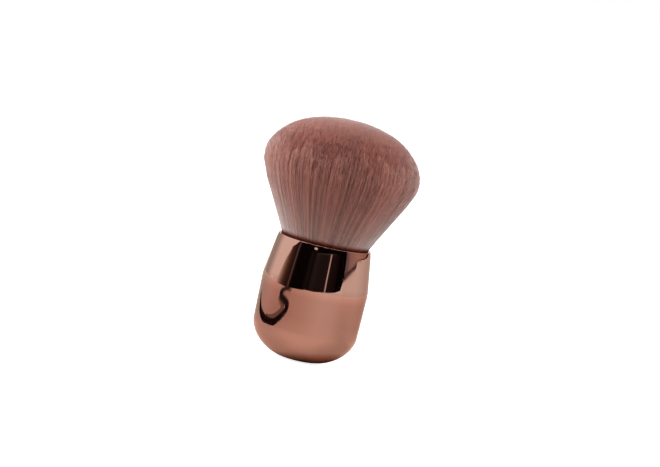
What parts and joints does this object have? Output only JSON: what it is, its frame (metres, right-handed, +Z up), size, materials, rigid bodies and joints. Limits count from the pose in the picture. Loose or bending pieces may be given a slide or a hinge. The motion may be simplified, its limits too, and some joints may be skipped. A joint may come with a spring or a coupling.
{
  "type": "nail brush",
  "caption": "Cosmetic brush with a round plated cup handle and a dense, flared and domed bristle tuft, for dusting nails.",
  "frame": {"origin": "centre of the flat that the handle stands on", "axes": "+Z up along the brush's axis, from the base to the top of the tuft; +X and +Y are any two directions across it, as the brush is round"},
  "size_m": [0.0528, 0.0528, 0.0822],
  "materials": {
    "handle_plating": "mirror-bright rose-gold plating on moulded plastic",
    "counterweight": "zinc-plated cast steel",
    "liner": "moulded dark brown polypropylene",
    "resin": "cured amber epoxy",
    "thread": "wound polyester thread",
    "bristles": "fine dusky pink synthetic fibre"
  },
  "bodies": {
    "root": {"handle_shell": "handle_plating", "counterweight": "counterweight", "inner_liner": "liner", "resin_bed": "resin", "root_binding": "thread", "bristles_core": "bristles", "bristles_middle": "bristles", "bristles_outer": "bristles"}
  },
  "joints": []
}
